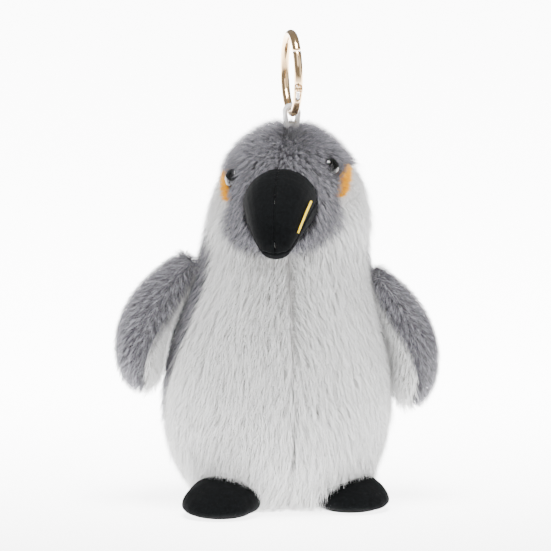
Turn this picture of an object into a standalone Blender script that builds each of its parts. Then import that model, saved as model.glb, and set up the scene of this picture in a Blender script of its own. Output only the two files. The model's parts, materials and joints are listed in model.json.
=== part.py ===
"""Plush penguin with a spring gate ring on its crown, as sewn panels, stuffing, eyes and hardware.

Metres, +Z up. The penguin stands on z = 0 and faces -Y, so its own left side is at +X.
Lengths are written in millimetres and turned into metres by MM.
"""

import math

import bmesh
import bpy
from mathutils import Matrix, Vector
from mathutils.bvhtree import BVHTree

MM = 0.001
GAP = 0.3  # kept between pieces that touch on the real toy

# Where the object's reference point lies from the axis of the body, along X and Y.
ORIGIN = (-0.35, -3.65)

# The body and head are one stuffed pear. Height, half width, front depth, back depth, lean to +X.
BODY_SECTIONS = (
    (0.0, 20.0, 19.0, 19.0, 0.4),
    (2.8, 26.0, 25.0, 25.0, 0.2),
    (9.0, 30.3, 29.5, 28.5, 0.0),
    (18.0, 34.8, 34.5, 32.5, -0.2),
    (32.0, 37.5, 36.8, 34.5, 0.0),
    (48.0, 36.7, 35.6, 33.6, 0.0),
    (64.0, 33.5, 32.2, 31.0, 0.5),
    (78.0, 29.5, 28.6, 27.6, 1.6),
    (90.0, 26.8, 25.6, 25.0, 2.8),
    (100.0, 26.2, 25.6, 24.8, 4.0),
    (110.0, 24.0, 24.2, 23.6, 4.3),
    (118.0, 20.6, 21.0, 20.8, 4.2),
    (125.0, 15.2, 15.6, 15.6, 4.0),
    (130.0, 8.2, 8.6, 8.6, 4.0),
)
CROWN_Z = 132.0
BODY_TURN = math.radians(9)  # the belly, wings and feet face a little to +X
HEAD_TURN = math.radians(-6)  # the face looks a little to -X
HEAD_ROLL = math.radians(-3)  # the head tips a little to -X
HEAD_CENTRE = (4.0, 0.0, 105.0)
CLOTH = 2.0  # wall of the pile fabric with its backing
STUFFING_GAP = 0.6  # left under the cloth, because the stuffing's faces are coarser
SUEDE = 1.0  # wall of the short pile fabric

MUZZLE_Z = 106.0
MUZZLE_BULGE = 3.0
MUZZLE_REACH = (math.radians(48), 15.0)  # half angle, half height

# Seams seen from the side, as (y, z). The hood's and ear's are in the head's own frame.
HOOD_SEAM = (
    (-27.0, -12.5), (-22.0, -10.5), (-18.0, -6.0), (-16.0, 0.0), (-15.0, 4.5),
    (-10.5, 9.5), (-3.0, 12.5), (6.0, 12.5), (40.0, 7.0),
)  # fmt: skip
EAR_SEAM = (
    (-20.0, 3.8), (-14.0, 4.0), (-11.6, 5.2), (-8.6, 7.8), (-4.4, 10.6), (-2.0, 12.1),
    (-2.0, 18.0), (-20.0, 18.0),
)  # fmt: skip
SIDE_SEAM = (
    (5.0, 130.0), (5.0, 108.0), (3.0, 99.0), (-8.0, 92.5), (-11.0, 80.0),
    (-11.0, 66.0), (-5.0, 46.0), (4.0, 24.0), (8.0, 10.0), (8.0, -10.0),
)  # fmt: skip
BASE_SEAM_Z = 2.4
NECK_Z = 92.0

# The wing hangs from its hinge: out from the body, down, half thickness, half chord, and how far
# the seam between its two panels lies in towards the body.
WING_SECTIONS = (
    (2.6, -1.6, 2.6, 7.0, 1.4),
    (9.5, -9.0, 5.2, 10.5, 3.0),
    (16.0, -17.5, 6.8, 12.8, 3.2),
    (20.2, -27.0, 7.2, 13.4, 1.6),
    (21.2, -35.5, 6.3, 12.0, 0.2),
    (20.6, -41.5, 4.0, 8.4, 0.0),
)
WING_TIP = (20.0, -44.8)
WING_SIDES = 18
WING_HINGES = {"right": (-28.0, -2.0, 87.0, -1.5), "left": (31.2, -1.0, 82.2, -7.5)}  # last: hang, degrees

FOOT_SIZE = (13.2, 15.5, 13.6)  # half width, half length, height
FOOT_WAIST = 4.4  # height at which the foot is widest
FOOT_UNDER = 0.8  # how far down its lower half the sole cuts it, as a share
FOOT_PLACES = {"right": (-23.7, -27.0, 30.0), "left": (21.4, -21.5, 28.0)}  # last: toes out, degrees
FOOT_HINGE = (6.5, 12.6)  # behind and above the middle of the sole
FOOT_LIFT = 25  # degrees that a foot can lift; its top is cut back to clear the belly all the way
FOOT_CLEARANCE = 0.8
SOLE = 1.2

# The beak's centre line in the head's frame: y, z, half width, half height.
BEAK_SECTIONS = (
    (-19.5, 3.5, 12.2, 11.6),
    (-26.0, 3.7, 12.6, 11.8),
    (-33.0, 2.3, 11.6, 10.8),
    (-39.5, -0.9, 9.8, 9.0),
    (-44.5, -5.1, 7.6, 6.8),
)
BEAK_TIP = (-48.6, -10.4)
BEAK_SIDES = 24
BEAK_OPEN_Y = -21.4  # the beak's cloth and stuffing end here, inside the hood
STITCH = 0.4  # half thickness of the yellow thread
STITCH_SPAN = (0.5, 1.0)  # where it runs, along the beak's centre line
STITCH_TURNS = {"left": 0.3, "right": math.pi + 0.95}  # up round the beak from its left side

EYE_ANGLE = math.radians(54)  # out from straight ahead
EYE_HEIGHTS = {"left": 14.0, "right": 11.4}  # above the head's centre
EYE_TILT = 0.45  # the share of the cloth's upward slope that the eye follows
EYE_RADIUS = 3.5
EYE_DOME = 2.3
EYE_DISC = 0.6
SHANK = (1.1, 6.5)  # radius, length
WASHER = (3.4, 0.8, 2.0)  # radius, thickness, depth below the cloth

TAIL_SIZE = (8.5, 13.0, 2.4)  # half width, length, half thickness
TAIL_HINGE = (0.0, 32.6, 16.0)
TAIL_ROOT = 1.0  # the flap's flat root, behind its hinge
TAIL_DROOP = math.radians(-32)

LOOP_HINGE = (5.1, 0.0, 131.6)
RING_TURN = math.radians(10)
LOOP_WIDTH = 5.0
LOOP_OUTER = 2.8
LOOP_INNER = 2.0
LOOP_ROOT = 2.2
WIRE = 1.5  # half thickness of the ring's wire
RING_RADIUS = 13.75  # to the middle of the wire
WIRE_ABOVE_HINGE = 5.8
GATE_START = math.radians(-16)  # hinge end, up from the forward side of the ring
GATE_SWEEP = math.radians(58)
SLOT = 0.75  # half width of the slot that takes the gate's tongue
SLOT_DEPTH = 4.0
TONGUE = 0.45  # half thickness
KNUCKLE = 1.1
LEAF = 0.15  # half thickness of the gate's leaf spring
PIN = 0.45

COLOURS = {
    "grey_plush": ((0.21, 0.20, 0.225), 0.95, 0.0),
    "white_plush": ((0.80, 0.80, 0.79), 0.95, 0.0),
    "orange_plush": ((0.93, 0.42, 0.06), 0.9, 0.0),
    "black_suede": ((0.012, 0.014, 0.016), 0.85, 0.0),
    "yellow_thread": ((0.83, 0.66, 0.08), 0.6, 0.0),
    "clear_plastic": ((0.85, 0.87, 0.88), 0.05, 0.0),
    "black_plastic": ((0.006, 0.006, 0.007), 0.2, 0.0),
    "nylon_washer": ((0.75, 0.75, 0.73), 0.45, 0.0),
    "stuffing": ((0.86, 0.86, 0.84), 1.0, 0.0),
    "ribbon": ((0.62, 0.61, 0.60), 0.6, 0.0),
    "gold": ((0.83, 0.66, 0.42), 0.18, 1.0),
    "spring_steel": ((0.55, 0.55, 0.57), 0.3, 1.0),
}


# ---------------------------------------------------------------- scene and objects


def clear_scene():
    for obj in list(bpy.data.objects):
        bpy.data.objects.remove(obj)


def new_collection(name, hidden=False):
    collection = bpy.data.collections.new(name)
    collection.hide_render = hidden
    bpy.context.scene.collection.children.link(collection)
    return collection


def material(name):
    found = bpy.data.materials.get(name)
    if found:
        return found
    made = bpy.data.materials.new(name)
    made.use_nodes = True
    colour, roughness, metallic = COLOURS[name]
    shader = made.node_tree.nodes["Principled BSDF"]
    shader.inputs["Base Color"].default_value = (*colour, 1)
    shader.inputs["Roughness"].default_value = roughness
    shader.inputs["Metallic"].default_value = metallic
    return made


def empty(name, location, rotation=(0, 0, 0), parent=None):
    """An unseen axis that pieces hang from. Its location is in millimetres in its parent's frame."""
    axis = bpy.data.objects.new(name, None)
    axis.empty_display_size = 5 * MM
    axis.location = Vector(location) * MM
    axis.rotation_euler = rotation
    axis.parent = parent
    PARTS.objects.link(axis)
    return axis


def add_object(name, bm, parent, slot=None):
    """Turns a bmesh in millimetres into an object: a part where it has a slot, a cutter where not."""
    bmesh.ops.scale(bm, vec=(MM, MM, MM), verts=bm.verts)
    mesh = bpy.data.meshes.new(name)
    bm.to_mesh(mesh)
    bm.free()
    mesh.shade_smooth()
    mesh.set_sharp_from_angle(angle=math.radians(40))
    obj = bpy.data.objects.new(name, mesh)
    obj.parent = parent
    if slot:
        mesh.materials.append(material(slot))
        PARTS.objects.link(obj)
    else:
        obj.hide_render = True
        obj.display_type = "WIRE"
        CUTTERS.objects.link(obj)
    return obj


def boolean(obj, cutter, operation, solver="EXACT"):
    change = obj.modifiers.new(cutter.name, "BOOLEAN")
    change.operation = operation
    change.object = cutter
    change.solver = solver


def keep(obj, *cutters):
    for cutter in cutters:
        boolean(obj, cutter, "INTERSECT")


def cut(obj, *cutters, solver="EXACT"):
    for cutter in cutters:
        boolean(obj, cutter, "DIFFERENCE", solver)


# ---------------------------------------------------------------- shapes, in millimetres


def smooth_rows(rows, steps):
    """Rows of numbers, with steps - 1 more between each two on a Catmull-Rom curve."""
    rows = [Vector(row) for row in rows]
    ends = [2 * rows[0] - rows[1], *rows, 2 * rows[-1] - rows[-2]]
    made = []
    for a, b, c, d in zip(ends, ends[1:], ends[2:], ends[3:]):
        for step in range(steps):
            t = step / steps
            bend = 2 * a - 5 * b + 4 * c - d + t * (3 * (b - c) + d - a)
            made.append(b + 0.5 * t * (c - a + t * bend))
    return [*made, rows[-1]]


def loft(rings, tip=None):
    """A closed form through rings of points. It ends in a flat cap, or in a point where a tip is given."""
    bm = bmesh.new()
    loops = [[bm.verts.new(point) for point in ring] for ring in rings]
    count = len(loops[0])
    for low, high in zip(loops, loops[1:]):
        for i in range(count):
            j = (i + 1) % count
            bm.faces.new((low[i], low[j], high[j], high[i]))
    bm.faces.new(reversed(loops[0]))
    if tip is None:
        bm.faces.new(loops[-1])
    else:
        point = bm.verts.new(tip)
        for i in range(count):
            bm.faces.new((loops[-1][i], loops[-1][(i + 1) % count], point))
    bmesh.ops.recalc_face_normals(bm, faces=bm.faces)
    if bm.calc_volume(signed=True) < 0:
        bmesh.ops.reverse_faces(bm, faces=bm.faces)
    return bm


def grown(bm, distance):
    """Moves the surface out along its normals, or in where the distance is negative."""
    bm.normal_update()
    normals = [vert.normal.copy() for vert in bm.verts]
    for vert, normal in zip(bm.verts, normals):
        vert.co += normal * distance
    return bm


def wall(form, thickness):
    """The wall of a form: its surface, with the same surface inside it turned to face inwards."""
    outer, inner = form(), grown(form(), -thickness)
    bmesh.ops.reverse_faces(inner, faces=inner.faces)
    scratch = bpy.data.meshes.new("inner")
    inner.to_mesh(scratch)
    inner.free()
    outer.from_mesh(scratch)
    bpy.data.meshes.remove(scratch)
    return outer


def slice_off(bm, place, towards):
    """Takes away what lies beyond a plane, on the side it faces, and closes the cut."""
    whole = [*bm.verts, *bm.edges, *bm.faces]
    bmesh.ops.bisect_plane(bm, geom=whole, plane_co=place, plane_no=towards, clear_outer=True)
    bmesh.ops.contextual_create(bm, geom=[edge for edge in bm.edges if edge.is_boundary])
    bmesh.ops.recalc_face_normals(bm, faces=bm.faces)


def offset(outline, distance):
    """The outline moved out by a distance, whichever way round it was drawn."""
    points = [Vector(point) for point in outline]
    around = list(zip(points, points[1:] + points[:1]))
    if sum(a.x * b.y - b.x * a.y for a, b in around) < 0:
        points.reverse()
    moved = []
    for before, point, after in zip(points[-1:] + points[:-1], points, points[1:] + points[:1]):
        into, out = (point - before).normalized(), (after - point).normalized()
        normal = Vector((into.y + out.y, -into.x - out.x)).normalized()
        reach = normal.x * out.y - normal.y * out.x
        moved.append(point + normal * distance / max(reach, 0.5))
    return moved


def prism(name, outline, spread, parent, grow=0.0, along="X", slot=None):
    """An outline of (y, z), or (x, z) where it runs along Y, swept over a spread."""
    bm = bmesh.new()
    start, end = spread
    corners = offset(outline, grow)
    if along == "X":
        verts = [bm.verts.new((start, point.x, point.y)) for point in corners]
        sweep = (end - start, 0, 0)
    else:
        verts = [bm.verts.new((point.x, start, point.y)) for point in corners]
        sweep = (0, end - start, 0)
    face = bm.faces.new(verts)
    moved = bmesh.ops.extrude_face_region(bm, geom=[face])["geom"]
    verts = [part for part in moved if isinstance(part, bmesh.types.BMVert)]
    bmesh.ops.translate(bm, vec=sweep, verts=verts)
    bmesh.ops.recalc_face_normals(bm, faces=bm.faces)
    return add_object(name, bm, parent, slot)


def block(name, low, high, parent):
    """A box-shaped cutter between two corners."""
    (x0, y0, z0), (x1, y1, z1) = low, high
    return prism(name, ((y0, z0), (y1, z0), (y1, z1), (y0, z1)), (x0, x1), parent)


def cylinder(radius, low, high, sides=16):
    """A closed cylinder along Z between two heights."""
    bm = bmesh.new()
    place = Matrix.Translation((0, 0, (low + high) / 2))
    bmesh.ops.create_cone(
        bm, cap_ends=True, segments=sides, radius1=radius, radius2=radius, depth=high - low, matrix=place
    )
    return bm


def tube(name, points, radius, parent, slot, sides=2):
    """A round wire through points, with filled and welded ends. Returns a mesh object."""
    curve = bpy.data.curves.new(name, "CURVE")
    curve.dimensions = "3D"
    curve.bevel_depth = radius * MM
    curve.bevel_resolution = sides
    curve.use_fill_caps = True
    spline = curve.splines.new("POLY")
    spline.points.add(len(points) - 1)
    for point, place in zip(spline.points, points):
        point.co = (*(Vector(place) * MM), 1)
    guide = bpy.data.objects.new(name + "_guide", curve)
    bpy.context.scene.collection.objects.link(guide)
    graph = bpy.context.evaluated_depsgraph_get()
    mesh = bpy.data.meshes.new_from_object(guide.evaluated_get(graph))
    bpy.data.objects.remove(guide)
    bm = bmesh.new()
    bm.from_mesh(mesh)
    bpy.data.meshes.remove(mesh)
    bmesh.ops.remove_doubles(bm, verts=bm.verts, dist=0.01 * MM)
    bmesh.ops.recalc_face_normals(bm, faces=bm.faces)
    bmesh.ops.scale(bm, vec=(1 / MM, 1 / MM, 1 / MM), verts=bm.verts)
    return add_object(name, bm, parent, slot)


# ---------------------------------------------------------------- body and head


def muzzle(angle, z):
    """How far the face stands out round the beak, at an angle from -Y and a height."""
    across = (angle - HEAD_TURN) / MUZZLE_REACH[0]
    up = (z - MUZZLE_Z) / MUZZLE_REACH[1]
    if abs(across) >= 1 or abs(up) >= 1:
        return 0.0
    return MUZZLE_BULGE * math.cos(across * math.pi / 2) ** 2 * math.cos(up * math.pi / 2) ** 2


def body_form(sides=40, steps=2):
    """The outside of the cloth from the base to the crown."""
    rings = []
    for z, half, front, back, lean in smooth_rows(BODY_SECTIONS, steps):
        ring = []
        for i in range(sides):
            angle = 2 * math.pi * i / sides - math.pi
            depth = front if abs(angle) < math.pi / 2 else back
            out = muzzle(angle, z)
            x = lean + (half + out) * math.sin(angle)
            ring.append((x, -(depth + out) * math.cos(angle), z))
        rings.append(ring)
    return loft(rings, tip=(BODY_SECTIONS[-1][4], 0, CROWN_Z))


def seam_cutters():
    """The zones that the body's panels are kept in or cut by, each in two sizes so that a gap is left."""
    wide, far = (-60, 60), 70
    hood = [*HOOD_SEAM, (far, 7.0), (far, far), (-far, far), (-far, -12.5)]
    front = [*SIDE_SEAM, (-far, -10.0), (-far, 130.0)]
    made = {}
    for size, grow in (("inside", -GAP / 2), ("outside", GAP / 2)):
        made["hood_" + size] = prism("hood_zone_" + size, hood, wide, HEAD, grow)
        made["front_" + size] = prism("front_zone_" + size, front, wide, BODY, grow)
        made["ear_left_" + size] = prism("ear_zone_left_" + size, EAR_SEAM, (10, 60), HEAD, grow)
        made["ear_right_" + size] = prism("ear_zone_right_" + size, EAR_SEAM, (-60, -10), HEAD, grow)
        base = ((-far, -10), (far, -10), (far, BASE_SEAM_Z), (-far, BASE_SEAM_Z))
        made["base_" + size] = prism("base_zone_" + size, base, wide, BODY, grow)
    for side, low, high in (("left", GAP / 2, far), ("right", -far, -GAP / 2)):
        made["body_" + side] = block("body_half_" + side, (low, -far, -20), (high, far, 150), BODY)
        made["head_" + side] = block("head_half_" + side, (low, -far, -60), (high, far, 60), HEAD)
    return made


def make_body_panels(zones):
    for side in ("left", "right"):
        belly = add_object("belly_panel_" + side, wall(body_form, CLOTH), AXIS, "white_plush")
        keep(belly, zones["front_inside"], zones["body_" + side])
        cut(belly, zones["hood_outside"], zones["ear_left_outside"], zones["ear_right_outside"])
        cut(belly, zones["base_outside"])
        back = add_object("back_panel_" + side, wall(body_form, CLOTH), AXIS, "grey_plush")
        keep(back, zones["body_" + side])
        cut(back, zones["front_outside"], zones["hood_outside"], zones["base_outside"])
    base = add_object("base_panel", wall(body_form, CLOTH), AXIS, "white_plush")
    keep(base, zones["base_inside"])


def make_head_panels(zones, openings):
    """The two halves of the grey hood, and the orange ear patches let in at its edge."""
    for side in ("left", "right"):
        hood = add_object("hood_panel_" + side, wall(body_form, CLOTH), AXIS, "grey_plush")
        keep(hood, zones["hood_inside"], zones["head_" + side])
        cut(hood, openings["beak"], openings["crown"], openings["eye_" + side], openings["rest_" + side])
        ear = add_object("ear_patch_" + side, wall(body_form, CLOTH), AXIS, "orange_plush")
        keep(ear, zones["ear_" + side + "_inside"])
        cut(ear, zones["hood_outside"], solver="MANIFOLD")  # the exact solver loses this sliver


def make_stuffing(openings):
    """The fill of the body and of the head, which meet at the neck."""
    lower = block("neck_lower", (-70, -70, -10), (70, 70, NECK_Z - GAP / 2), AXIS)
    upper = block("neck_upper", (-70, -70, NECK_Z + GAP / 2), (70, 70, 150), AXIS)
    body = add_object("body_stuffing", grown(body_form(24, 1), -CLOTH - STUFFING_GAP), AXIS, "stuffing")
    keep(body, lower)
    head = add_object("head_stuffing", grown(body_form(24, 1), -CLOTH - STUFFING_GAP), AXIS, "stuffing")
    keep(head, upper)
    cut(head, openings["beak"], openings["crown"])
    cut(head, openings["pocket_left"], openings["pocket_right"])


# ---------------------------------------------------------------- beak


def beak_rows():
    return smooth_rows(BEAK_SECTIONS, 3)


def beak_section(row, before, after, angle):
    """A point on the beak's skin, at an angle up from its left side, square to the centre line."""
    y, z, half, high = row
    lean = math.atan2(after[1] - before[1], before[0] - after[0])
    up = Vector((0, math.sin(lean), math.cos(lean)))
    return Vector((0, y, z)) + Vector((half * math.cos(angle), 0, 0)) + up * high * math.sin(angle)


def beak_form():
    rows = beak_rows()
    rings = []
    for i, row in enumerate(rows):
        before, after = rows[max(i - 1, 0)], rows[min(i + 1, len(rows) - 1)]
        turns = [2 * math.pi * k / BEAK_SIDES for k in range(BEAK_SIDES)]
        rings.append([beak_section(row, before, after, turn) for turn in turns])
    tip = Vector((0, *BEAK_TIP))
    middle = Vector((0, rows[-1][0], rows[-1][1]))
    shoulder = tip - (tip - middle) * 0.22
    rings.append([shoulder + (point - middle) * 0.62 for point in rings[-1]])
    return loft(rings, tip=tip)


def make_beak():
    """Two black panels above the mouth, one below it, and their stuffing."""
    far = 70
    line = [(row[0], row[1]) for row in beak_rows()]
    mouth = [(line[0][0] + 10, line[0][1]), *line, BEAK_TIP, (BEAK_TIP[0] - 10, BEAK_TIP[1] - 16)]
    above = [*mouth, (-far, -28), (-far, far), (line[0][0] + 10, far)]
    front = block("beak_front", (-far, -far, -far), (far, BEAK_OPEN_Y, far), HEAD)
    above_inside = prism("beak_above_inside", above, (-30, 30), HEAD, -GAP / 2)
    above_outside = prism("beak_above_outside", above, (-30, 30), HEAD, GAP / 2)
    for side, low, high in (("left", GAP / 2, 40), ("right", -40, -GAP / 2)):
        half = block("beak_half_" + side, (low, -far, -far), (high, far, far), HEAD)
        upper = add_object("beak_upper_" + side, wall(beak_form, SUEDE), HEAD, "black_suede")
        keep(upper, front, above_inside, half)
    lower = add_object("beak_lower", wall(beak_form, SUEDE), HEAD, "black_suede")
    keep(lower, front)
    cut(lower, above_outside)
    stuffing = add_object("beak_stuffing", grown(beak_form(), -SUEDE - GAP), HEAD, "stuffing")
    keep(stuffing, front)


def make_mouth_stitches():
    rows = beak_rows()
    length = len(rows) - 1
    first, last = (int(round(share * length)) for share in STITCH_SPAN)
    out = STITCH + GAP
    for side, angle in STITCH_TURNS.items():
        points = []
        for i in range(first, last + 1):
            before, after = rows[max(i - 1, 0)], rows[min(i + 1, length)]
            y, z, half, high = rows[i]
            points.append(beak_section((y, z, half + out, high + out), before, after, angle))
        tube("mouth_stitch_" + side, points, STITCH, HEAD, "yellow_thread")


# ---------------------------------------------------------------- eyes


def eye_seat(side):
    """Where the eye sits on the cloth, in the head's frame, with its Z axis straight out."""
    sign = 1 if side == "left" else -1
    form = body_form()
    tree = BVHTree.FromBMesh(form)
    form.free()
    to_head = HEAD_MATRIX.inverted()
    height = EYE_HEIGHTS[side]
    start = HEAD_MATRIX @ Vector((0, 0, height))
    aim = HEAD_MATRIX @ Vector((sign * math.sin(EYE_ANGLE), -math.cos(EYE_ANGLE), height))
    place, normal, _, _ = tree.ray_cast(start, (aim - start).normalized())
    out = to_head.to_3x3() @ normal
    out = Vector((out.x, out.y, out.z * EYE_TILT)).normalized()
    turn = Vector((0, 0, 1)).rotation_difference(out)
    location = to_head @ place + out * GAP
    return location, turn.to_euler()


def make_eyes():
    """Clear domes on black discs, whose shanks go through the hood into washers.

    Returns the openings they need.
    """
    openings = {}
    for side in ("left", "right"):
        location, turn = eye_seat(side)
        seat = empty("eye_seat_" + side, location, turn, HEAD)
        dome = bmesh.new()
        bmesh.ops.create_uvsphere(dome, u_segments=16, v_segments=8, radius=EYE_RADIUS)
        slice_off(dome, (0, 0, 0), (0, 0, -1))
        bmesh.ops.scale(dome, vec=(1, 1, EYE_DOME / EYE_RADIUS), verts=dome.verts)
        bmesh.ops.translate(dome, vec=(0, 0, EYE_DISC + GAP / 3), verts=dome.verts)
        add_object("eye_dome_" + side, dome, seat, "clear_plastic")
        disc = add_object("eye_disc_" + side, cylinder(EYE_RADIUS - 0.1, 0, EYE_DISC), seat, "black_plastic")
        shank = add_object("shank_" + side, cylinder(SHANK[0], -SHANK[1], EYE_DISC / 2, 12), seat)
        boolean(disc, shank, "UNION")
        top = -CLOTH - WASHER[2]
        flange = cylinder(WASHER[0], top - WASHER[1], top)
        washer = add_object("eye_washer_" + side, flange, seat, "nylon_washer")
        hole = add_object("washer_hole_" + side, cylinder(SHANK[0] + GAP / 2, -20, 10, 12), seat)
        cut(washer, hole)
        openings["eye_" + side] = hole
        rest = add_object("eye_rest_" + side, cylinder(EYE_RADIUS + GAP, -GAP, 10), seat)
        openings["rest_" + side] = rest
        pocket = cylinder(WASHER[0] + GAP, -SHANK[1] - GAP, 10)
        openings["pocket_" + side] = add_object("washer_pocket_" + side, pocket, seat)
    return openings


# ---------------------------------------------------------------- wings, feet and tail


def wing_form(sign):
    """A flipper that hangs from the origin, out to the side of the sign."""
    rows = smooth_rows(WING_SECTIONS, 2)
    rings = []
    for i, (out, up, thick, chord, _) in enumerate(rows):
        before, after = rows[max(i - 1, 0)], rows[min(i + 1, len(rows) - 1)]
        run = Vector((after[0] - before[0], after[1] - before[1])).normalized()
        ring = []
        for k in range(WING_SIDES):
            angle = 2 * math.pi * k / WING_SIDES
            across = thick * math.cos(angle)
            ring.append((sign * (out - run.y * across), chord * math.sin(angle), up + run.x * across))
        rings.append(ring)
    return loft(rings, tip=(sign * WING_TIP[0], 0, WING_TIP[1]))


def make_wings():
    """Each wing is a grey outer panel and a white inner panel, sewn round its edge over a pad."""
    for side, (x, y, z, hang) in WING_HINGES.items():
        sign = 1 if side == "left" else -1
        hinge = empty("wing_hinge_" + side, (x, y, z), (0, math.radians(-sign * hang), BODY_TURN), AXIS)
        line = [(sign * (row[0] - row[4]), row[1] - row[4] / 2) for row in smooth_rows(WING_SECTIONS, 2)]
        root = (line[0][0] - sign * 8, line[0][1] + 8)
        end = (sign * (WING_TIP[0] - 1), WING_TIP[1] - 10)
        inner = [root, *line, (sign * WING_TIP[0], WING_TIP[1]), end, (-sign * 30, -60), (-sign * 30, 10)]
        inner_inside = prism("wing_inner_zone_" + side, inner, (-30, 30), hinge, -GAP / 2, "Y")
        inner_outside = prism("wing_outer_zone_" + side, inner, (-30, 30), hinge, GAP / 2, "Y")

        def form(sign=sign):
            return wing_form(sign)

        cut(add_object("wing_outer_" + side, wall(form, CLOTH), hinge, "grey_plush"), inner_outside)
        keep(add_object("wing_inner_" + side, wall(form, CLOTH), hinge, "white_plush"), inner_inside)
        add_object("wing_pad_" + side, grown(form(), -CLOTH - GAP), hinge, "stuffing")


def foot_form(sole_z=0.0, shrink=0.0):
    """A stuffed bun, widest a little above the floor and flat underneath at the height of the sole."""
    half_width, half_length, height = FOOT_SIZE
    bm = bmesh.new()
    bmesh.ops.create_uvsphere(bm, u_segments=24, v_segments=12, radius=1.0)
    bmesh.ops.scale(bm, vec=(half_width - shrink, half_length - shrink, 1), verts=bm.verts)
    for vert in bm.verts:
        reach = height - FOOT_WAIST if vert.co.z > 0 else FOOT_WAIST / FOOT_UNDER
        vert.co.z = FOOT_WAIST + vert.co.z * (reach - shrink)
        toe = max(0.0, -vert.co.y / half_length)
        vert.co.x *= 1 + 0.10 * toe
        vert.co.z *= 1 - 0.30 * toe
    slice_off(bm, (0, 0, sole_z), (0, 0, -1))
    return bm


def make_feet():
    """Each foot is a domed upper on a flat sole, with stuffing between, under the edge of the belly."""
    for side, (x, y, toes_out) in FOOT_PLACES.items():
        sign = 1 if side == "left" else -1
        turn = Matrix.Rotation(BODY_TURN, 4, "Z")
        middle = turn @ Vector((x, y, 0))
        yaw = BODY_TURN + sign * math.radians(toes_out)
        back = Matrix.Rotation(yaw, 4, "Z") @ Vector((0, FOOT_HINGE[0], FOOT_HINGE[1]))
        hinge = empty("foot_hinge_" + side, middle + back, (0, 0, yaw), AXIS)
        down = Vector((0, -FOOT_HINGE[0], -FOOT_HINGE[1]))
        place = Matrix.Translation(middle + back) @ Matrix.Rotation(yaw, 4, "Z")
        clear = []
        for lift in (0, FOOT_LIFT / 2, FOOT_LIFT):
            body = grown(body_form(), FOOT_CLEARANCE)
            away = place @ Matrix.Rotation(math.radians(lift), 4, "X") @ place.inverted()
            bmesh.ops.transform(body, matrix=away, verts=body.verts)
            clear.append(add_object(f"body_clearance_{side}_{lift:.0f}", body, AXIS))

        def placed(bm, down=down):
            bmesh.ops.translate(bm, vec=down, verts=bm.verts)
            return bm

        upper = add_object("foot_upper_" + side, placed(foot_form(SOLE + GAP)), hinge, "black_suede")
        cut(upper, *clear)
        inside = foot_form(SOLE - 1, SUEDE + 0.4)
        cut(upper, add_object("foot_inside_" + side, placed(inside), hinge))
        lowest = foot_form()
        slice_off(lowest, (0, 0, SOLE), (0, 0, 1))
        sole = add_object("foot_sole_" + side, placed(lowest), hinge, "black_suede")
        cut(sole, *clear)
        fill = foot_form(SOLE + GAP, SUEDE + 0.4 + GAP)
        pad = add_object("foot_stuffing_" + side, placed(fill), hinge, "stuffing")
        cut(pad, *clear)


def make_tail():
    """A short folded flap at the back of the base."""
    half_width, length, half_thickness = TAIL_SIZE
    location = Matrix.Rotation(BODY_TURN, 4, "Z") @ Vector(TAIL_HINGE)
    hinge = empty("tail_hinge", location, (TAIL_DROOP, 0, BODY_TURN), AXIS)
    bm = bmesh.new()
    bmesh.ops.create_uvsphere(bm, u_segments=14, v_segments=8, radius=1.0)
    bmesh.ops.scale(bm, vec=(half_width, length * 0.8, half_thickness), verts=bm.verts)
    bmesh.ops.translate(bm, vec=(0, length * 0.2, 0), verts=bm.verts)
    slice_off(bm, (0, TAIL_ROOT, 0), (0, -1, 0))
    add_object("tail", bm, hinge, "grey_plush")


# ---------------------------------------------------------------- loop and ring


def arc(centre, radius, start, end, steps):
    """Points on an arc in the plane of (across, up)."""
    turn = (end - start) / steps
    return [
        (centre[0] + radius * math.cos(start + turn * i), centre[1] + radius * math.sin(start + turn * i))
        for i in range(steps + 1)
    ]


def make_loop():
    """A folded ribbon that stands in the crown seam, with the ring's wire through its bight."""
    top = (0, WIRE_ABOVE_HINGE)
    outer = arc(top, LOOP_OUTER, 0, math.pi, 10) + arc((0, 0), LOOP_ROOT, math.pi, 2 * math.pi, 8)
    foot = LOOP_INNER - 0.6
    inner = [*arc(top, LOOP_INNER, 0, math.pi, 10), (-foot, LOOP_ROOT), (foot, LOOP_ROOT)]
    hinge = empty("loop_hinge", LOOP_HINGE, (0, 0, RING_TURN), AXIS)
    bm = bmesh.new()
    loops = []
    for outline in (outer, inner):
        verts = [bm.verts.new((x, -LOOP_WIDTH / 2, z)) for x, z in outline]
        loops += [bm.edges.new(pair) for pair in zip(verts, verts[1:] + verts[:1])]
    filled = bmesh.ops.triangle_fill(bm, edges=loops, use_beauty=True)["geom"]
    faces = [part for part in filled if isinstance(part, bmesh.types.BMFace)]
    moved = bmesh.ops.extrude_face_region(bm, geom=faces)["geom"]
    verts = [part for part in moved if isinstance(part, bmesh.types.BMVert)]
    bmesh.ops.translate(bm, vec=(0, LOOP_WIDTH, 0), verts=verts)
    bmesh.ops.recalc_face_normals(bm, faces=bm.faces)
    add_object("hang_loop", bm, hinge, "ribbon")
    notch = cylinder(LOOP_ROOT + 2 * GAP, -LOOP_WIDTH / 2 - GAP, LOOP_WIDTH / 2 + GAP)
    bmesh.ops.rotate(notch, matrix=Matrix.Rotation(math.pi / 2, 3, "X"), verts=notch.verts)
    return hinge, add_object("crown_notch", notch, hinge)


def ring_point(angle):
    """On the middle of the ring's wire, at an angle up from its forward side."""
    return Vector((0, -RING_RADIUS * math.cos(angle), RING_RADIUS + RING_RADIUS * math.sin(angle)))


def sector(centre_angle, spread, near, far):
    """An outline of (y, z) between two distances from the origin, round a direction."""
    low, high = centre_angle - spread, centre_angle + spread
    return arc((0, 0), far, low, high, 10) + arc((0, 0), near, high, low, 4)


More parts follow.
